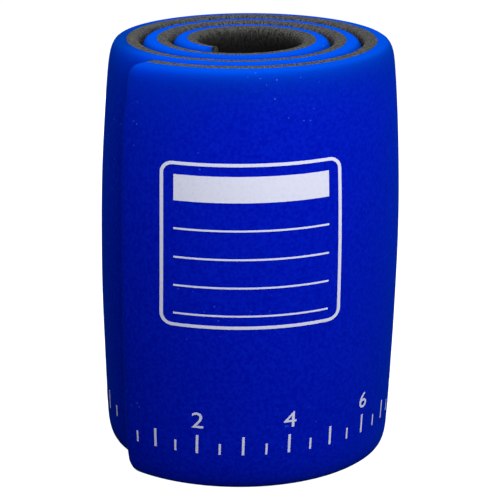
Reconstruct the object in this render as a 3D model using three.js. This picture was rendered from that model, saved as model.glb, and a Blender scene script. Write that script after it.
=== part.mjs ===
// Aluminium foam splint, rolled up and standing on end.
// Two foam sheets are laid face to face as one flat strip and wound inwards into a spiral:
// the blue sheet is the outer face of every turn and the grey sheet is the inner face.
// Units are millimetres, +Z is up, and the origin is under the middle of the roll on its resting plane.
import * as THREE from "three";

const { clamp, degToRad, lerp, smoothstep } = THREE.MathUtils;

// The flat strip: its outer end has round corners and its inner end is cut square.
// Its length is measured along the round spiral, and SIDE_SPREAD below adds about a hundredth
const STRIP_LENGTH = 471.2;
const STRIP_WIDTH = 108;
const CORNER_RADIUS = 3.5;

// One foam sheet: full thickness between turns, and pressed thin over a rounded shoulder at its edge.
// The cut at the inner end goes through the shoulder, so only a part of it is left there.
// The shoulder is this much shorter along the outer end, away from its corners
const SHEET_THICKNESS = 3.5;
const SHOULDER_POWER = 3;
const SEAM_GAP = 0.3;
const CUT_ALLOWANCE = 3;
const END_CRISPNESS = 0.35;
const CRISP_BLEND = 6;

// Each sheet: its side of the seam, its edge's thickness at the strip's two ends, and its shoulder's reach
// under another turn and on a free face, which stretches at the foot of the outer end.
// A free face swells by a share of its thickness, which grows from the strip's end to where that end
// covers the face, is more at the foot there, is less on the roll's right side, and settles over an angle
const BLUE = {
  side: 1,
  edgeAtOuterEnd: 1.3,
  edgeAtInnerEnd: 1.3,
  packedReach: 4.5,
  reachAtEnd: 5,
  reachAtCover: 9,
  footStretch: 2.6,
  swellAtEnd: 0.25,
  swellAtCover: 0.46,
  footExtra: 0.38,
  sidePress: 0.25,
  settleFrom: degToRad(-8),
  settleTo: degToRad(2),
};
const GREY = {
  side: -1,
  edgeAtOuterEnd: 2.7,
  edgeAtInnerEnd: 1.2,
  packedReach: 3.8,
  reachAtEnd: 4,
  reachAtCover: 4,
  footStretch: 1,
  swellAtEnd: -0.2,
  swellAtCover: 0.3,
  footExtra: 0,
  sidePress: 0,
  settleFrom: degToRad(-22),
  settleTo: degToRad(-5),
};

// The foot's longer shoulder: how far below half height it is full, as a share of half the width,
// and where along the strip it ends
const FOOT_RISE = 0.7;
const FOOT_STRETCH_FROM = 40;
const FOOT_STRETCH_TO = 75;

// The press on the right side is more at the foot and less at the top, by this share
const PRESS_LEAN = 0.7;

// The winding: seam radius at the outer end, radial pitch of a turn, where the outer end lies,
// and how much wider the roll is than deep
const OUTER_SEAM_RADIUS = 36.35;
const WINDING_PITCH = 7.66;
const OUTER_END_ANGLE = degToRad(-138);
const SIDE_SPREAD = 1.017;

// The roll is fuller at half height; its outer end is drawn back there, and leans back at the top.
// The strip follows the end over this length
const BARREL_CROWN = 2.4;
const CROWN_RISE = 0.25;
const END_DRAWBACK = degToRad(2.8);
const END_LEAN = degToRad(1.7);
const DRAWN_LENGTH = 90;

// Near its two corners the outer end is tucked back further, between these distances from the edge
const TOP_TUCK = degToRad(2.2);
const FOOT_TUCK = degToRad(1.1);
const TUCK_FROM = 18;
const TUCK_TO = 5;
const TUCK_LENGTH = 22;

// Grid of each sheet: rows close to its ends and its sides, then even steps between them
const END_ROWS = [0, 0.5, 2, 6];
const SIDE_ROWS = [0, 0.5, 2, 6, TUCK_FROM];
const EVEN_STEPS_ALONG = 104;
const EVEN_STEPS_ACROSS = 4;

const HALF_WIDTH = STRIP_WIDTH / 2;
const INWARD_PER_RADIAN = WINDING_PITCH / (2 * Math.PI);
const FULL_TURN = 2 * Math.PI;

// Seam radius at a distance along the strip from its outer end (an Archimedean spiral).
function seamRadius(along) {
  return Math.sqrt(OUTER_SEAM_RADIUS ** 2 - 2 * INWARD_PER_RADIAN * along);
}

// Angle wound since the outer end.
function woundAngle(along) {
  return (OUTER_SEAM_RADIUS - seamRadius(along)) / INWARD_PER_RADIAN;
}

// Half of the strip's width, less at the outer end's round corners.
function halfWidth(along) {
  const intoCorner = Math.max(CORNER_RADIUS - along, 0);
  return HALF_WIDTH - CORNER_RADIUS + Math.sqrt(CORNER_RADIUS ** 2 - intoCorner ** 2);
}

// Distance in from the strip's pressed outline, which the cut at the inner end lies inside.
function insetFromOutline(along, across) {
  const pastEnd = CORNER_RADIUS - along;
  const pastSide = Math.abs(across) - (HALF_WIDTH - CORNER_RADIUS);
  const outside = Math.hypot(Math.max(pastEnd, 0), Math.max(pastSide, 0));
  const inset = CORNER_RADIUS - outside - Math.min(Math.max(pastEnd, pastSide), 0);
  return Math.min(inset, STRIP_LENGTH + CUT_ALLOWANCE - along);
}

// Fullness over the height: 1 half way up, 0 at both edges, and more in the upper half than the lower.
function crown(across) {
  const height = across / HALF_WIDTH;
  return (1 - height ** 2) * (1 + CROWN_RISE * height);
}

// Radius that the fullness adds; each turn adds to those inside it.
function barrelOffset(along, across) {
  return BARREL_CROWN * crown(across) * (1 - (along / STRIP_LENGTH) ** 3);
}

// What is left further along of a shift at the outer end, where it dies away over a length.
function leftOfShift(along, length) {
  return Math.max(1 - along / length, 0) ** 2;
}

// Angle by which the strip lies back from its place in the winding, at the outer end and near it.
function windingShift(along, across) {
  const drawn = END_DRAWBACK * crown(across) + END_LEAN * (across / HALF_WIDTH);
  const nearEdge = smoothstep(Math.abs(across), HALF_WIDTH - TUCK_FROM, HALF_WIDTH - TUCK_TO);
  const tucked = (across > 0 ? TOP_TUCK : FOOT_TUCK) * nearEdge;
  return drawn * leftOfShift(along, DRAWN_LENGTH) + tucked * leftOfShift(along, TUCK_LENGTH);
}

// The blue face is free from the outer end to where that end covers it, a turn later.
// The grey face is free from the inner end, back along the winding, for a turn.
function fromFreeEnd(sheet, along, across) {
  if (sheet === BLUE) return woundAngle(along) - windingShift(0, across);
  return woundAngle(STRIP_LENGTH) - woundAngle(along);
}

// Reach of the shoulder at a place on the strip, given how free and how settled the sheet is there.
function shoulderReach(sheet, along, across, share, settled) {
  const freeReach = lerp(sheet.reachAtEnd, sheet.reachAtCover, share);
  const atFoot = smoothstep(-across, 0, FOOT_RISE * HALF_WIDTH);
  const stretched = atFoot * (1 - smoothstep(along, FOOT_STRETCH_FROM, FOOT_STRETCH_TO));
  const atEnd = smoothstep(HALF_WIDTH - Math.abs(across) - along, 0, CRISP_BLEND);
  const reach = lerp(freeReach, sheet.packedReach, settled);
  return reach * lerp(1, sheet.footStretch, stretched) * lerp(1, END_CRISPNESS, atEnd);
}

// Thickness of a sheet at a place on the strip.
function foamThickness(sheet, along, across) {
  const fromEnd = fromFreeEnd(sheet, along, across);
  const settled = smoothstep(fromEnd - FULL_TURN, sheet.settleFrom, sheet.settleTo);
  const share = clamp(fromEnd / FULL_TURN, 0, 1);
  const reach = shoulderReach(sheet, along, across, share, settled);
  const rise = clamp(insetFromOutline(along, across) / reach, 0, 1);
  const shoulder = (1 - (1 - rise) ** SHOULDER_POWER) ** (1 / SHOULDER_POWER);
  const height = across / HALF_WIDTH;
  const atCover = sheet.swellAtCover - sheet.footExtra * height;
  const onSide = Math.max(Math.cos(OUTER_END_ANGLE + woundAngle(along)), 0) ** 2;
  const pressed = sheet.sidePress * onSide * (1 - PRESS_LEAN * height);
  const swell = (1 - settled) * (lerp(sheet.swellAtEnd, atCover, share) - pressed);
  const edge = lerp(sheet.edgeAtOuterEnd, sheet.edgeAtInnerEnd, along / STRIP_LENGTH);
  return (1 + swell) * lerp(edge, SHEET_THICKNESS, shoulder);
}

// Grid positions from 0 to total: the edge rows at both ends and even steps between.
function gridRows(edgeRows, total, evenSteps) {
  const inset = edgeRows.at(-1);
  const even = (total - 2 * inset) / evenSteps;
  const middle = Array.from({ length: evenSteps - 1 }, (_, i) => inset + (i + 1) * even);
  return [...edgeRows, ...middle, ...edgeRows.map((row) => total - row).reverse()];
}

// One foam sheet, shaped from a flat box and wound.
function woundSheet(sheet) {
  const rowsAlong = gridRows(END_ROWS, STRIP_LENGTH, EVEN_STEPS_ALONG);
  const rowsAcross = gridRows(SIDE_ROWS, STRIP_WIDTH, EVEN_STEPS_ACROSS);
  const stepsAlong = rowsAlong.length - 1;
  const stepsAcross = rowsAcross.length - 1;
  const box = new THREE.BoxGeometry(1, 1, 1, stepsAlong, stepsAcross, 1);
  const corner = new THREE.Vector3();
  const position = box.getAttribute("position");
  for (let i = 0; i < position.count; i++) {
    corner.fromBufferAttribute(position, i);
    const along = rowsAlong[Math.round((corner.x + 0.5) * stepsAlong)];
    const row = rowsAcross[Math.round((corner.y + 0.5) * stepsAcross)] - HALF_WIDTH;
    const across = sheet.side * row * (halfWidth(along) / HALF_WIDTH);
    const thickness = corner.z > 0 ? foamThickness(sheet, along, across) : 0;
    const fromSeam = sheet.side * (SEAM_GAP / 2 + thickness);
    const radius = seamRadius(along) + barrelOffset(along, across) + fromSeam;
    const angle = OUTER_END_ANGLE + woundAngle(along) + windingShift(along, across);
    const x = SIDE_SPREAD * radius * Math.cos(angle);
    position.setXYZ(i, x, radius * Math.sin(angle), HALF_WIDTH + across);
  }
  box.computeVertexNormals();
  return box;
}

function namedMesh(name, geometry, material) {
  const mesh = new THREE.Mesh(geometry, material);
  mesh.name = name;
  return mesh;
}

const blueFoam = new THREE.MeshStandardMaterial({ color: "#0432c8", roughness: 0.75, metalness: 0 });
const greyFoam = new THREE.MeshStandardMaterial({ color: "#454547", roughness: 0.9, metalness: 0 });

const roll = new THREE.Group();
roll.add(namedMesh("outer_foam", woundSheet(BLUE), blueFoam));
roll.add(namedMesh("inner_foam", woundSheet(GREY), greyFoam));

// The winding axis is off the middle of the roll, so the roll moves until its box stands on the origin.
const middle = new THREE.Box3().setFromObject(roll, true).getCenter(new THREE.Vector3());
roll.position.set(-middle.x, -middle.y, 0);

const splint = new THREE.Group();
splint.add(roll);

export default splint;
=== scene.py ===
import math

import bmesh
import bpy
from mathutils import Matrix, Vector, noise


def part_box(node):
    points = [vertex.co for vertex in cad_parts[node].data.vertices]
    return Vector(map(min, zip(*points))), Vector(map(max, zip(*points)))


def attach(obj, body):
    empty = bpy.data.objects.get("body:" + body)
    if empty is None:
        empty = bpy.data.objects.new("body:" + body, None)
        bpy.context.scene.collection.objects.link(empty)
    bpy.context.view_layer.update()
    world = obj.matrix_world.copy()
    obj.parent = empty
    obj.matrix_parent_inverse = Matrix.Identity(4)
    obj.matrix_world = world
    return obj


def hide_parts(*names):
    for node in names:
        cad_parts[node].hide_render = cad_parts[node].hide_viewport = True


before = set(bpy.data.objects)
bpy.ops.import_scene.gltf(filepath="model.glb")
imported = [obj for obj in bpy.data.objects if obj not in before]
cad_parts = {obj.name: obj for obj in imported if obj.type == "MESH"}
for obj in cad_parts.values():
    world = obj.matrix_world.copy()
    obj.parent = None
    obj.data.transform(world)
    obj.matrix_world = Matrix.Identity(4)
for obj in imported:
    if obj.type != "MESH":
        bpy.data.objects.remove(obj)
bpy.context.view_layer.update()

mm = 0.001
decimetre = 0.1
fullTurn = 2 * math.pi

# The strip and how it is wound, with the same sizes as the solids
roll = {
    "length": 471.2 * mm,
    "width": 108 * mm,
    "corner": 3.5 * mm,  # round corners at the outer end; the inner end is cut square
    "cutAllowance": 3 * mm,  # the cut lies this far inside the pressed outline
    "seamRadius": 36.35 * mm,  # at the outer end
    "pitch": 7.66 * mm,
    "outerEnd": math.radians(-138),
    "sideSpread": 1.017,  # a little wider than deep
    "crown": 2.4 * mm,  # extra radius half way up
    "crownRise": 0.25,  # more of it in the upper half
    "drawback": math.radians(2.8),  # the outer end is drawn back where the roll is fuller
    "lean": math.radians(1.7),  # and leans back at the top
    "drawnLength": 90 * mm,  # the strip follows it over this length
    "topTuck": math.radians(2.2),  # near its corners the end lies back further
    "footTuck": math.radians(1.1),
    "tuckLength": 22 * mm,
    "tuckFrom": 18 * mm,  # in from the edge, where the tuck begins and where it is full
    "tuckTo": 5 * mm,
}

# Both sheets: full thickness between turns, and pressed thin over a rounded shoulder at the edge
foam = {
    "thickness": 3.5 * mm,
    "shoulderPower": 3,
    "seamGap": 0.04 * mm,
    "pressLean": 0.7,  # the press on the right side is more at the foot
    "footRise": 0.7,  # share of half the width, below the middle, where the foot's stretch is full
    "footStretched": (40 * mm, 75 * mm),  # along the strip, where that stretch dies away
    "endCrispness": 0.35,  # the shoulder is this much shorter along the outer end
    "crispBlend": 6 * mm,
    "dentSeed": 3.7,
    "creaseSeed": 8.1,
    "creaseSize": (1.2 * mm, 5 * mm),  # along and across the strip
    "evenEdge": 3 * mm,  # dents and creases die out this close to the edge
    "crowdAlong": 5,  # how many grid rows crowd at each end, and at each side
    "crowdAcross": 9,
}
inwardPerRadian = roll["pitch"] / fullTurn
halfStrip = roll["width"] / 2


def clamp(value, low=0.0, high=1.0):
    return max(low, min(high, value))


def mixed(first, second, share):
    return first + (second - first) * share


def smoothStep(value, start, end):
    t = clamp((value - start) / (end - start))
    return t * t * (3 - 2 * t)


def seamRadius(along):
    return math.sqrt(roll["seamRadius"] ** 2 - 2 * inwardPerRadian * along)


def woundAngle(along):
    return (roll["seamRadius"] - seamRadius(along)) / inwardPerRadian


def halfWidthAt(along):
    intoCorner = max(roll["corner"] - along, 0)
    return halfStrip - roll["corner"] + math.sqrt(max(roll["corner"] ** 2 - intoCorner ** 2, 0))


def insetFromOutline(along, across):
    pastEnd = roll["corner"] - along
    pastSide = abs(across) - (halfStrip - roll["corner"])
    outside = math.hypot(max(pastEnd, 0), max(pastSide, 0))
    inset = roll["corner"] - outside - min(max(pastEnd, pastSide), 0)
    return min(inset, roll["length"] + roll["cutAllowance"] - along)


def crownAt(across):
    height = across / halfStrip
    return (1 - height ** 2) * (1 + roll["crownRise"] * height)


def leftOfShift(along, length):
    # what is left further along of a shift at the outer end
    return max(1 - along / length, 0) ** 2


def windingShift(along, across):
    drawn = roll["drawback"] * crownAt(across) + roll["lean"] * across / halfStrip
    tuck = roll["topTuck"] if across > 0 else roll["footTuck"]
    tucked = tuck * smoothStep(abs(across), halfStrip - roll["tuckFrom"], halfStrip - roll["tuckTo"])
    return drawn * leftOfShift(along, roll["drawnLength"]) + tucked * leftOfShift(along, roll["tuckLength"])


def rollPoint(along, across, fromSeam):
    fuller = roll["crown"] * crownAt(across) * (1 - (along / roll["length"]) ** 3)
    radius = seamRadius(along) + fuller + fromSeam
    angle = roll["outerEnd"] + woundAngle(along) + windingShift(along, across)
    x = roll["sideSpread"] * radius * math.cos(angle)
    return Vector((x, radius * math.sin(angle), halfStrip + across))


# Settings of the two sheets. A side of 1 lies outside the seam and -1 inside it
blueSheet = {
    "name": "blue_foam_sheet",
    "replaces": "outer_foam",
    "slot": "blue_foam",
    "side": 1,
    "columns": 520,  # grid steps along the strip, and rows across it
    "rows": 60,
    "edge": (1.3 * mm, 1.3 * mm),  # thickness at the outer and the inner end
    "packedReach": 4.5 * mm,  # the shoulder under another turn, then on a free face
    "packedSwell": 0.03,
    "reachAtEnd": 5 * mm,
    "reachAtCover": 9 * mm,
    "footStretch": 2.6,  # the shoulder reaches further at the foot of the outer end
    "swellAtEnd": 0.25,  # a free face swells by a share of its thickness
    "swellAtCover": 0.46,
    "footExtra": 0.38,
    "sidePress": 0.25,  # and less on the right side
    "settle": (math.radians(-8), math.radians(2)),
    "dentDepth": 0.12 * mm,
    "dentSize": 26 * mm,
    "creaseDepth": 0.0,
    "fill": 0.9,
}
greySheet = {
    "name": "grey_foam_sheet",
    "replaces": "inner_foam",
    "slot": "grey_foam",
    "side": -1,
    "columns": 1200,
    "rows": 38,
    "edge": (2.7 * mm, 1.2 * mm),
    "packedReach": 3.8 * mm,
    "packedSwell": 0.03,
    "reachAtEnd": 4 * mm,
    "reachAtCover": 4 * mm,
    "footStretch": 1.0,
    "swellAtEnd": -0.2,
    "swellAtCover": 0.3,
    "footExtra": 0.0,
    "sidePress": 0.0,
    "settle": (math.radians(-22), math.radians(-5)),
    "dentDepth": 0.1 * mm,
    "dentSize": 12 * mm,
    "creaseDepth": 0.06 * mm,
    "fill": 0.85,
}


def fromFreeEnd(sheet, along, across):
    # angle wound since the end that leaves this face free for a turn
    if sheet["side"] > 0:
        return woundAngle(along) - windingShift(0, across)
    return woundAngle(roll["length"]) - woundAngle(along)


def shoulderReach(sheet, along, across, share, settled):
    freeReach = mixed(sheet["reachAtEnd"], sheet["reachAtCover"], share)
    reach = mixed(freeReach, sheet["packedReach"], settled)
    atFoot = smoothStep(-across, 0, halfStrip * foam["footRise"])
    stretched = atFoot * (1 - smoothStep(along, *foam["footStretched"]))
    atEnd = smoothStep(halfStrip - abs(across) - along, 0, foam["crispBlend"])
    return reach * mixed(1, sheet["footStretch"], stretched) * mixed(1, foam["endCrispness"], atEnd)


def foamThickness(sheet, along, across):
    fromEnd = fromFreeEnd(sheet, along, across)
    settled = smoothStep(fromEnd - fullTurn, *sheet["settle"])
    share = clamp(fromEnd / fullTurn)
    rise = clamp(insetFromOutline(along, across) / shoulderReach(sheet, along, across, share, settled))
    shoulder = (1 - (1 - rise) ** foam["shoulderPower"]) ** (1 / foam["shoulderPower"])
    height = across / halfStrip
    atCover = sheet["swellAtCover"] - sheet["footExtra"] * height
    onSide = max(math.cos(roll["outerEnd"] + woundAngle(along)), 0) ** 2
    pressed = sheet["sidePress"] * onSide * (1 - foam["pressLean"] * height)
    freeSwell = mixed(sheet["swellAtEnd"], atCover, share) - pressed
    swell = mixed(freeSwell, sheet["packedSwell"], settled)
    edge = mixed(*sheet["edge"], along / roll["length"])
    return (1 + swell) * mixed(edge, foam["thickness"], shoulder)


def faceOffset(sheet, along, across):
    # distance from the seam to the open face of a sheet
    return foam["seamGap"] / 2 + foamThickness(sheet, along, across)


def unevenness(sheet, along, across):
    # soft dents, and creases that run across the strip; both die out at the pressed edge
    size = sheet["dentSize"]
    dent = noise.noise(Vector((along / size, across / size, foam["dentSeed"])))
    width, length = foam["creaseSize"]
    crease = noise.noise(Vector((along / width, across / length, foam["creaseSeed"])))
    inside = smoothStep(insetFromOutline(along, across), 0, foam["evenEdge"])
    return (dent * sheet["dentDepth"] + crease * sheet["creaseDepth"]) * inside


def easedFromEnds(share, total, steps, crowd):
    # rows crowd at both ends, then run even
    fromEnd = min(share, 1 - share) * steps
    even = total / 2 / (steps / 2 - crowd * (1 - math.exp(-steps / 2 / crowd)))
    distance = even * (fromEnd - crowd * (1 - math.exp(-fromEnd / crowd)))
    return distance if share <= 0.5 else total - distance


# The winding axis stands where the rolled strip fills the solid's own box
axisSearch = {
    "steps": 2000,
    "length": 0.5,  # share of the strip, from its outer end, that reaches the box
    "heights": (-0.4, -0.2, 0, 0.2),  # shares of half the width, where the roll is fullest
}


def findAxis():
    points = []
    for i in range(axisSearch["steps"] + 1):
        along = axisSearch["length"] * roll["length"] * i / axisSearch["steps"]
        for height in axisSearch["heights"]:
            across = halfStrip * height
            points.append(rollPoint(along, across, faceOffset(blueSheet, along, across)))
    low = Vector(map(min, zip(*points)))
    high = Vector(map(max, zip(*points)))
    boxLow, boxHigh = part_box("outer_foam")
    middle = (boxLow + boxHigh) / 2 - (low + high) / 2
    return Vector((middle.x, middle.y, boxLow.z))


axis = findAxis()
print("winding axis", [round(v / mm, 2) for v in axis])


def addObject(bm, name):
    mesh = bpy.data.meshes.new(name)
    bm.to_mesh(mesh)
    bm.free()
    made = bpy.data.objects.new(name, mesh)
    bpy.context.collection.objects.link(made)
    return made


def flatPlaces(bm, sheet, openVerts):
    # every vertex's place on the flat strip, and whether it is on the open face
    places = {}
    for v in bm.verts:
        along = easedFromEnds((v.co.x + 1) / 2, roll["length"], sheet["columns"], foam["crowdAlong"])
        row = easedFromEnds((v.co.y + 1) / 2, roll["width"], sheet["rows"], foam["crowdAcross"]) - halfStrip
        places[v] = along, row * halfWidthAt(along) / halfStrip, v in openVerts
    return places


def layFlatPattern(bm, sheet, places):
    # the flat strip as a UV map, in decimetres, with the rim carried on past the edge
    uv = bm.loops.layers.uv.new("flat")
    rim = {face for face in bm.faces if len({places[v][2] for v in face.verts}) == 2}
    for face in bm.faces:
        for loop in face.loops:
            along, across, isOpen = places[loop.vert]
            if face in rim and not isOpen:
                across += math.copysign(sheet["edge"][0], across)
            loop[uv].uv = along / decimetre, across / decimetre
        face.smooth = True
    # crisp only where the rim meets the seam
    for edge in bm.edges:
        onSeam = not any(places[v][2] for v in edge.verts)
        edge.smooth = not (onSeam and any(face in rim for face in edge.link_faces))


def makeSheet(sheet):
    bm = bmesh.new()
    bmesh.ops.create_grid(bm, x_segments=sheet["columns"], y_segments=sheet["rows"], size=1)
    raised = bmesh.ops.extrude_face_region(bm, geom=bm.faces[:], use_keep_orig=True)
    openVerts = {v for v in raised["geom"] if isinstance(v, bmesh.types.BMVert)}
    bmesh.ops.translate(bm, vec=(0, 0, 1), verts=list(openVerts))
    bmesh.ops.recalc_face_normals(bm, faces=bm.faces)
    places = flatPlaces(bm, sheet, openVerts)
    layFlatPattern(bm, sheet, places)

    side = sheet["side"]
    for v in bm.verts:
        along, across, isOpen = places[v]
        fromSeam = foam["seamGap"] / 2
        if isOpen:
            fromSeam = faceOffset(sheet, along, across) + unevenness(sheet, along, across)
        v.co = rollPoint(along, across, side * fromSeam) + axis
    if side < 0:
        bmesh.ops.reverse_faces(bm, faces=bm.faces)
    piece = addObject(bm, sheet["name"])
    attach(piece, "root")
    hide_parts(sheet["replaces"])
    print(sheet["name"], len(piece.data.polygons), "faces")
    return piece


# A socket that can be used in sums, and the one way to add any other node
class Link:
    def __init__(self, tree, socket=None):
        self.tree = tree
        self.socket = socket

    def node(self, kind, settings=None, values=None, out=0):
        made = self.tree.nodes.new(kind)
        for key, value in (settings or {}).items():
            setattr(made, key, value)
        for key, value in (values or {}).items():
            if isinstance(value, Link):
                self.tree.links.new(value.socket, made.inputs[key])
            else:
                made.inputs[key].default_value = value
        return Link(self.tree, made.outputs[out] if made.outputs else None)

    def maths(self, operation, first, second=0.0):
        return self.node("ShaderNodeMath", {"operation": operation}, {0: first, 1: second})

    def __add__(self, other):
        return self.maths("ADD", self, other)

    def __sub__(self, other):
        return self.maths("SUBTRACT", self, other)

    def __rsub__(self, other):
        return self.maths("SUBTRACT", other, self)

    def __mul__(self, other):
        return self.maths("MULTIPLY", self, other)

    def __lt__(self, other):
        return self.maths("LESS_THAN", self, other)

    def __abs__(self):
        return self.maths("ABSOLUTE", self)

    __radd__ = __add__
    __rmul__ = __mul__


def newMaterial(name):
    material = bpy.data.materials.new(name)
    material.use_nodes = True
    tree = material.node_tree
    tree.nodes.clear()
    return material, Link(tree)


def finishMaterial(tree, shader):
    tree.node("ShaderNodeOutputMaterial", values={"Surface": shader})


# The Mix node's colour sockets share their names with its other sockets, so they go by number
mixSockets = {"first": 6, "second": 7, "result": 2}


def blended(tree, share, first, second):
    values = {"Factor": share, mixSockets["first"]: first, mixSockets["second"]: second}
    return tree.node("ShaderNodeMix", {"data_type": "RGBA"}, values, out=mixSockets["result"])


def faded(tree, value, start, end):
    # 0 at start and 1 at end, soft between
    return tree.node("ShaderNodeMapRange", {"interpolation_type": "SMOOTHSTEP"}, {
        "Value": value, "From Min": start, "From Max": end})


def flatPattern(tree):
    # millimetres along the flat strip, and up from its middle
    flat = tree.node("ShaderNodeUVMap", {"uv_map": "flat"})
    along = tree.node("ShaderNodeSeparateXYZ", values={"Vector": flat}, out="X")
    across = tree.node("ShaderNodeSeparateXYZ", values={"Vector": flat}, out="Y")
    return along * (decimetre / mm), across * (decimetre / mm)


def rimShare(tree, fromEdge, fade):
    # 1 at the edge and past it, falling to a third over the fade
    return tree.maths("MINIMUM", tree.maths("EXPONENT", fromEdge * (-1 / fade)), 1.0)


def noiseAt(tree, place, size, detail, roughness):
    return tree.node("ShaderNodeTexNoise", values={
        "Vector": place, "Scale": 1 / size, "Detail": detail, "Roughness": roughness})


def cellsAt(tree, place, size):
    # distance from the middle of the nearest cell, as a share of the size
    return tree.node("ShaderNodeTexVoronoi", values={"Vector": place, "Scale": 1 / size})


# Smooth skin of the blue foam: mottled, with light specks in patches, a painted highlight along the pressed
# upper edge, and painted shade under it and on the outermost turn's rim.
# Fades and zones are in mm from the upper edge or along the strip; a noise has a size, detail and roughness
blueFinish = {
    "body": (0.0, 0.0028, 0.318, 1),
    "cloudy": (0.001, 0.0094, 0.424, 1),
    "cloud": (14 * mm, 4, 0.6),
    "mottle": (0.9 * mm, 3, 0.6),
    "mottleRange": (0.32, 0.68),
    "mottleShare": 0.75,  # the cloud gives the rest
    "below": (0.0, 0.021, 0.255, 1),  # painted shade and painted reflection under the rim: a deeper blue band, greener where the painted highlight tails off
    "belowFade": 4.5,
    "belowEnd": (0.0, 0.020, 0.40, 1),  # near the outer end, on it and beside it, the painted band is paler and reaches further down
    "belowEndFade": 8,
    "endZone": (4, 28),  # from the outer end, where that dies away
    # painted highlight and painted reflection along the pressed upper edge: paler and greener
    "rim": (0.0, 0.042, 0.425, 1),
    "rimFade": 1.1,
    "shadedRim": (0.0, 0.020, 0.205, 1),  # painted shade on the rim of the outermost turn
    "turnsShaded": (20, 80),
    "shadeDarkest": (148, 178),  # the painted shade is darkest where the outer end covers it
    "clears": (188, 210),
    "topShade": 0.28,  # share of the painted shade on the rim before that, on top and on the slope under it
    "slopeShade": 0.65,
    "slopeZone": (0, 1),
    "endShade": 0.25,
    "speck": (0.03, 0.085, 0.60, 1),
    "speckShare": 0.6,
    "speckSpacing": 2.3 * mm,
    "speckSize": 0.1,  # share of the spacing
    "patchSize": 20 * mm,
    "patchSeed": 8.0,
    "patchRange": (0.55, 0.66),
    "roughness": 0.62,
    "grainRoughness": 0.12,
    "grain": (0.5 * mm, 3, 0.6),
    "cellSize": 0.5 * mm,
    "grainShare": 0.6,  # of the bump; the cells give the rest
    "bump": 0.12,
    "bumpDepth": 0.3 * mm,
    "sheen": 0.036,
    "sheenRoughness": 0.5,
    "sheenTint": (0.0, 0.45, 1.0, 1),
}


def underRim(tree, tone, along, fromTop):
    # a painted band of shade, with a greener painted reflection, under the painted highlight of the rim;
    # wider near the outer end
    covers = math.pi * (2 * roll["seamRadius"] - roll["pitch"]) / mm  # a turn along, under the outer end
    fromEnd = tree.maths("MINIMUM", along, abs(along - covers))
    nearEnd = 1 - faded(tree, fromEnd, *blueFinish["endZone"])
    usual = rimShare(tree, fromTop, blueFinish["belowFade"])
    further = rimShare(tree, fromTop, blueFinish["belowEndFade"])
    below = blended(tree, nearEnd, blueFinish["below"], blueFinish["belowEnd"])
    return blended(tree, usual + (further - usual) * nearEnd, tone, below)


def paleRim(tree, tone, along, fromTop):
    # a painted highlight along the upper edge, turned to painted shade on the outermost turn, most where
    # the outer end covers it, and on the outer end
    onTurn = faded(tree, along, *blueFinish["turnsShaded"]) * (1 - faded(tree, along, *blueFinish["clears"]))
    shadeDarkest = faded(tree, along, *blueFinish["shadeDarkest"])
    slope = faded(tree, fromTop, *blueFinish["slopeZone"])
    before = slope * (blueFinish["slopeShade"] - blueFinish["topShade"]) + blueFinish["topShade"]
    onEnd = 1 - faded(tree, along, *blueFinish["endZone"])
    turnShade = onTurn * (shadeDarkest + (1 - shadeDarkest) * before)
    shadeOnRim = tree.maths("MAXIMUM", turnShade, onEnd * blueFinish["endShade"])
    rim = blended(tree, shadeOnRim, blueFinish["rim"], blueFinish["shadedRim"])
    return blended(tree, rimShare(tree, fromTop, blueFinish["rimFade"]), tone, rim)


def specked(tree, tone, place):
    spots = cellsAt(tree, place, blueFinish["speckSpacing"]) < blueFinish["speckSize"]
    patch = tree.node("ShaderNodeTexNoise", {"noise_dimensions": "4D"}, {
        "Vector": place, "W": blueFinish["patchSeed"], "Scale": 1 / blueFinish["patchSize"], "Detail": 0.0})
    shown = spots * faded(tree, patch, *blueFinish["patchRange"])
    return blended(tree, shown * blueFinish["speckShare"], tone, blueFinish["speck"])


def blueFoamMaterial():
    material, tree = newMaterial("blue_closed_cell_foam")
    place = tree.node("ShaderNodeTexCoord", out="Object")
    along, across = flatPattern(tree)
    fromTop = halfStrip / mm - across
    cloud = noiseAt(tree, place, *blueFinish["cloud"])
    mottle = faded(tree, noiseAt(tree, place, *blueFinish["mottle"]), *blueFinish["mottleRange"])
    paler = mottle * blueFinish["mottleShare"] + cloud * (1 - blueFinish["mottleShare"])
    tone = blended(tree, paler, blueFinish["body"], blueFinish["cloudy"])
    tone = underRim(tree, tone, along, fromTop)
    tone = paleRim(tree, tone, along, fromTop)
    tone = specked(tree, tone, place)
    grain = noiseAt(tree, place, *blueFinish["grain"])
    cells = cellsAt(tree, place, blueFinish["cellSize"])
    bump = tree.node("ShaderNodeBump", values={
        "Strength": blueFinish["bump"],
        "Distance": blueFinish["bumpDepth"],
        "Height": grain * blueFinish["grainShare"] + cells * (1 - blueFinish["grainShare"]),
    })
    shader = tree.node("ShaderNodeBsdfPrincipled", values={
        "Base Color": tone,
        "Roughness": blueFinish["roughness"] + grain * blueFinish["grainRoughness"],
        "Specular IOR Level": 0.0,
        "Sheen Weight": blueFinish["sheen"],
        "Sheen Roughness": blueFinish["sheenRoughness"],
        "Sheen Tint": blueFinish["sheenTint"],
        "Normal": bump,
    })
    finishMaterial(tree, shader)
    return material


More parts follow.
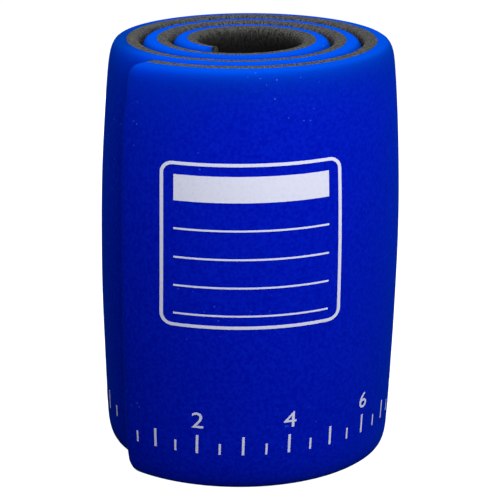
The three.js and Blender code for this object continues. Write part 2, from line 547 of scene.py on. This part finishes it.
# The grey foam is crinkled across the strip by the winding, with dark pits; painted shade darkens it away
# from its edges, between the turns and in the open hollow
greyFinish = {
    # painted shade far from the edges, between turns and in the hollow; also the colour of the pits
    "deep": (0.0031, 0.0031, 0.0034, 1),
    "between": (0.058, 0.054, 0.066, 1),  # painted half shade under the rim between turns, a little purple; further from the edge the darkest painted shade takes over
    "betweenFade": 4.0,  # mm from either edge
    "hollow": (350, 380),  # mm along, where the open hollow begins; past it only the narrow rim stands out of the painted shade
    "rim": (0.0655, 0.0655, 0.0615, 1),
    "rimFade": 1.8,
    "crinkleSize": (0.5, 1.8),  # mm along and across the strip
    "crinkle": (1, 3, 0.55),  # in that size
    "speckle": (0.45 * mm, 3, 0.65),
    "crinkleShare": 0.5,  # of the pits; the speckle gives the rest
    "pitRange": (0.60, 0.39),
    "pitShare": 0.9,  # how much darker the finest pits are
    "roughness": 0.85,
    "gloss": 0.05,
    "bump": 0.6,
    "bumpDepth": 0.4 * mm,
    "bumpCrinkle": 0.7,  # of the bump; the speckle gives the rest
}


def greyFoamMaterial():
    material, tree = newMaterial("grey_closed_cell_foam")
    place = tree.node("ShaderNodeTexCoord", out="Object")
    along, across = flatPattern(tree)
    fromEdge = halfStrip / mm - abs(across)
    crinkleAlong, crinkleAcross = greyFinish["crinkleSize"]
    stretched = tree.node("ShaderNodeCombineXYZ", values={
        "X": along * (1 / crinkleAlong), "Y": across * (1 / crinkleAcross)})
    crinkle = noiseAt(tree, stretched, *greyFinish["crinkle"])
    speckle = noiseAt(tree, place, *greyFinish["speckle"])
    # painted shade: the tone falls to near black with distance from the edges, soonest in the open hollow
    packed = 1 - faded(tree, along, *greyFinish["hollow"])
    between = rimShare(tree, fromEdge, greyFinish["betweenFade"]) * packed
    tone = blended(tree, between, greyFinish["deep"], greyFinish["between"])
    tone = blended(tree, rimShare(tree, fromEdge, greyFinish["rimFade"]), tone, greyFinish["rim"])
    rough = crinkle * greyFinish["crinkleShare"] + speckle * (1 - greyFinish["crinkleShare"])
    pits = faded(tree, rough, *greyFinish["pitRange"])
    tone = blended(tree, pits * greyFinish["pitShare"], tone, greyFinish["deep"])
    bump = tree.node("ShaderNodeBump", values={
        "Strength": greyFinish["bump"],
        "Distance": greyFinish["bumpDepth"],
        "Height": crinkle * greyFinish["bumpCrinkle"] + speckle * (1 - greyFinish["bumpCrinkle"]),
    })
    shader = tree.node("ShaderNodeBsdfPrincipled", values={
        "Base Color": tone,
        "Roughness": greyFinish["roughness"],
        "Specular IOR Level": greyFinish["gloss"],
        "Normal": bump,
    })
    finishMaterial(tree, shader)
    return material


bluePiece = makeSheet(blueSheet)
bluePiece.data.materials.append(blueFoamMaterial())
greyPiece = makeSheet(greySheet)
greyPiece.data.materials.append(greyFoamMaterial())

# White print on the outer face: a centimetre scale round the foot, and a plain panel to write on
ink = {
    "lift": 0.05 * mm,
    "sink": 0.06 * mm,
    "step": 1.5 * mm,  # faces are cut this short to follow the roll
    "merge": 0.001 * mm,
    "crispAngle": 0.5,  # radians between two faces
    "colour": (0.56, 0.575, 0.70, 1),
    "worn": (0.51, 0.53, 0.68, 1),
    "grain": (0.8 * mm, 3, 0.6),
    "wornRange": (0.45, 0.75),
    "roughness": 0.6,
}
scalePrint = {
    "name": "centimetre_scale",
    "centimetres": 20,
    "halfCentimetre": 5 * mm,
    "numberEvery": 2,  # centimetres
    "foot": 10 * mm,
    "tick": (0.55 * mm, 5 * mm),  # width and height
    "halfTick": (0.45 * mm, 3 * mm),
    "digitHeight": 4.2 * mm,
    "digitFoot": 17 * mm,
}
panelPrint = {
    "name": "writing_panel",
    "along": (11 * mm, 51 * mm),
    "height": (44 * mm, 86 * mm),
    "corner": 3 * mm,
    "cornerSteps": 6,
    "frame": 0.8 * mm,
    "margin": 3.2 * mm,
    "heading": 6.5 * mm,
    "rules": 4,
    "rule": 0.45 * mm,
}


def addBar(bm, left, right, low, high):
    bar = bmesh.ops.create_grid(bm, x_segments=1, y_segments=1, size=0.5)["verts"]
    bmesh.ops.scale(bm, vec=(right - left, high - low, 1), verts=bar)
    bmesh.ops.translate(bm, vec=((left + right) / 2, (low + high) / 2, 0), verts=bar)
    return bar


def addNumber(bm, number, middle, foot, height):
    curve = bpy.data.curves.new("number", "FONT")
    curve.body = str(number)
    holder = bpy.data.objects.new("number", curve)
    mesh = bpy.data.meshes.new_from_object(holder)
    known = set(bm.verts)
    bm.from_mesh(mesh)
    digits = [v for v in bm.verts if v not in known]
    low = Vector(map(min, *(v.co for v in digits)))
    high = Vector(map(max, *(v.co for v in digits)))
    size = height / (high.y - low.y)
    bmesh.ops.translate(bm, vec=(-(low.x + high.x) / 2, -low.y, 0), verts=digits)
    bmesh.ops.scale(bm, vec=(size, size, 1), verts=digits)
    bmesh.ops.translate(bm, vec=(middle, foot, 0), verts=digits)
    bmesh.ops.remove_doubles(bm, verts=digits, dist=ink["merge"])
    bpy.data.objects.remove(holder)
    bpy.data.curves.remove(curve)
    bpy.data.meshes.remove(mesh)


def drawScale(bm):
    foot = scalePrint["foot"]
    for half in range(1, scalePrint["centimetres"] * 2):
        along = half * scalePrint["halfCentimetre"]
        width, height = scalePrint["halfTick" if half % 2 else "tick"]
        addBar(bm, along - width / 2, along + width / 2, foot, foot + height)
        if half % (scalePrint["numberEvery"] * 2) == 0:
            addNumber(bm, half // 2, along, scalePrint["digitFoot"], scalePrint["digitHeight"])


def drawPanel(bm):
    left, right = panelPrint["along"]
    low, high = panelPrint["height"]
    margin = panelPrint["margin"]
    outline = addBar(bm, left, right, low, high)
    bmesh.ops.bevel(bm, geom=outline, offset=panelPrint["corner"], segments=panelPrint["cornerSteps"],
                    profile=0.5, affect="VERTICES", material=-1)
    inner = bm.faces[:]
    bmesh.ops.inset_region(bm, faces=inner, thickness=panelPrint["frame"],
                           use_boundary=True, use_even_offset=True)
    bmesh.ops.delete(bm, geom=inner, context="FACES")
    headingFoot = high - margin - panelPrint["heading"]
    addBar(bm, left + margin, right - margin, headingFoot, high - margin)
    spacing = (headingFoot - low - margin) / panelPrint["rules"]
    for i in range(panelPrint["rules"]):
        foot = low + margin + i * spacing
        addBar(bm, left + margin, right - margin, foot, foot + panelPrint["rule"])


def layOnFoam(bm):
    # short faces, a little thickness, then round the roll
    for direction in (Vector((1, 0, 0)), Vector((0, 1, 0))):
        places = [v.co.dot(direction) for v in bm.verts]
        start, end = min(places), max(places)
        for i in range(1, math.ceil((end - start) / ink["step"])):
            bmesh.ops.bisect_plane(bm, geom=bm.verts[:] + bm.edges[:] + bm.faces[:], dist=ink["merge"],
                                   plane_co=direction * (start + i * ink["step"]), plane_no=direction)
    raised = bmesh.ops.extrude_face_region(bm, geom=bm.faces[:], use_keep_orig=True)
    topVerts = {v for v in raised["geom"] if isinstance(v, bmesh.types.BMVert)}
    bmesh.ops.translate(bm, vec=(0, 0, ink["lift"] + ink["sink"]), verts=list(topVerts))
    bmesh.ops.recalc_face_normals(bm, faces=bm.faces)
    for v in bm.verts:
        along, across = v.co.x, v.co.y - halfStrip
        onFoam = faceOffset(blueSheet, along, across) + unevenness(blueSheet, along, across)
        v.co = rollPoint(along, across, onFoam + (ink["lift"] if v in topVerts else -ink["sink"])) + axis
    for face in bm.faces:
        face.smooth = True
    for edge in bm.edges:
        edge.smooth = edge.calc_face_angle(0) < ink["crispAngle"]


def makePrint(name, draw):
    bm = bmesh.new()
    draw(bm)
    layOnFoam(bm)
    piece = addObject(bm, name)
    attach(piece, "root")
    print(name, len(piece.data.polygons), "faces")
    return piece


def inkMaterial():
    material, tree = newMaterial("white_ink")
    place = tree.node("ShaderNodeTexCoord", out="Object")
    worn = faded(tree, noiseAt(tree, place, *ink["grain"]), *ink["wornRange"])
    shader = tree.node("ShaderNodeBsdfPrincipled", values={
        "Base Color": blended(tree, worn, ink["colour"], ink["worn"]),
        "Roughness": ink["roughness"],
        "Specular IOR Level": 0.0,
    })
    finishMaterial(tree, shader)
    return material


whiteInk = inkMaterial()
for name, draw in ((scalePrint["name"], drawScale), (panelPrint["name"], drawPanel)):
    makePrint(name, draw).data.materials.append(whiteInk)

# Camera: a long lens in front of the roll, looking down on its open end
camera = {
    "fromAxis": (1.54 * mm, -529.1 * mm, 218.4 * mm),
    "lookDown": 0.306,  # radians
    "lens": 151.5,
    "sensor": 36,
}


def makeCamera():
    data = bpy.data.cameras.new("camera")
    data.lens = camera["lens"]
    data.sensor_width = camera["sensor"]
    made = bpy.data.objects.new("camera", data)
    made.location = axis + Vector(camera["fromAxis"])
    made.rotation_euler = (math.pi / 2 - camera["lookDown"], 0, 0)
    bpy.context.collection.objects.link(made)
    bpy.context.scene.camera = made


makeCamera()

# Soft studio light: a ring of broad lamps, most of it from the front and the right, and three behind
studio = {
    "floorSize": 4.0,
    "floorColour": (0.25, 0.25, 0.25, 1),
    "floorRoughness": 0.9,
    "floorGlow": 0.95,
    "white": (1, 1, 1, 1),
    "worldStrength": 0.0645,
    "aim": (0, 0, 60 * mm),
    "distance": 400 * mm,
    # name: degrees round from the right, degrees up, size, watts
    "lamps": {
        "right": (-10, 10, 0.25, 0.47),
        "key": (-58, 50, 0.25, 1.226),
        "high": (-62, 70, 0.25, 0.742),
        "front": (-92, 22, 0.25, 0.62),
        "left": (-140, 24, 0.25, 0.235),
        "back": (135, 60, 0.25, 1.161),
        "backRight": (45, 20, 0.25, 0.194),
        "behind": (100, 3, 0.2, 0.5),
    },
}


def makeFloor():
    bm = bmesh.new()
    bmesh.ops.create_grid(bm, x_segments=1, y_segments=1, size=studio["floorSize"] / 2)
    floor = addObject(bm, "floor")
    material, tree = newMaterial("pale_floor")
    shader = tree.node("ShaderNodeBsdfPrincipled", values={
        "Base Color": studio["floorColour"],
        "Roughness": studio["floorRoughness"],
        "Specular IOR Level": 0.0,
        "Emission Color": studio["white"],
        "Emission Strength": studio["floorGlow"],
    })
    finishMaterial(tree, shader)
    floor.data.materials.append(material)
    floor.visible_diffuse = False  # the lamps alone shade the foam


def makeLamps():
    aim = Vector(studio["aim"])
    for name, (degreesRound, degreesUp, size, watts) in studio["lamps"].items():
        turn, rise = math.radians(degreesRound), math.radians(degreesUp)
        away = Vector((math.cos(rise) * math.cos(turn), math.cos(rise) * math.sin(turn), math.sin(rise)))
        data = bpy.data.lights.new(name, "AREA")
        data.shape = "DISK"
        data.size = size
        data.energy = watts
        lamp = bpy.data.objects.new(name, data)
        lamp.location = aim + away * studio["distance"]
        lamp.rotation_euler = (-away).to_track_quat("-Z", "Y").to_euler()
        lamp.visible_camera = False
        bpy.context.collection.objects.link(lamp)


def makeWorld():
    world = bpy.data.worlds.new("studio")
    world.use_nodes = True
    sky = world.node_tree.nodes["Background"]
    sky.inputs["Color"].default_value = studio["white"]
    sky.inputs["Strength"].default_value = studio["worldStrength"]
    bpy.context.scene.world = world
    bpy.context.scene.view_settings.view_transform = "Standard"


makeFloor()
makeLamps()
makeWorld()
print("camera, floor and lamps made")
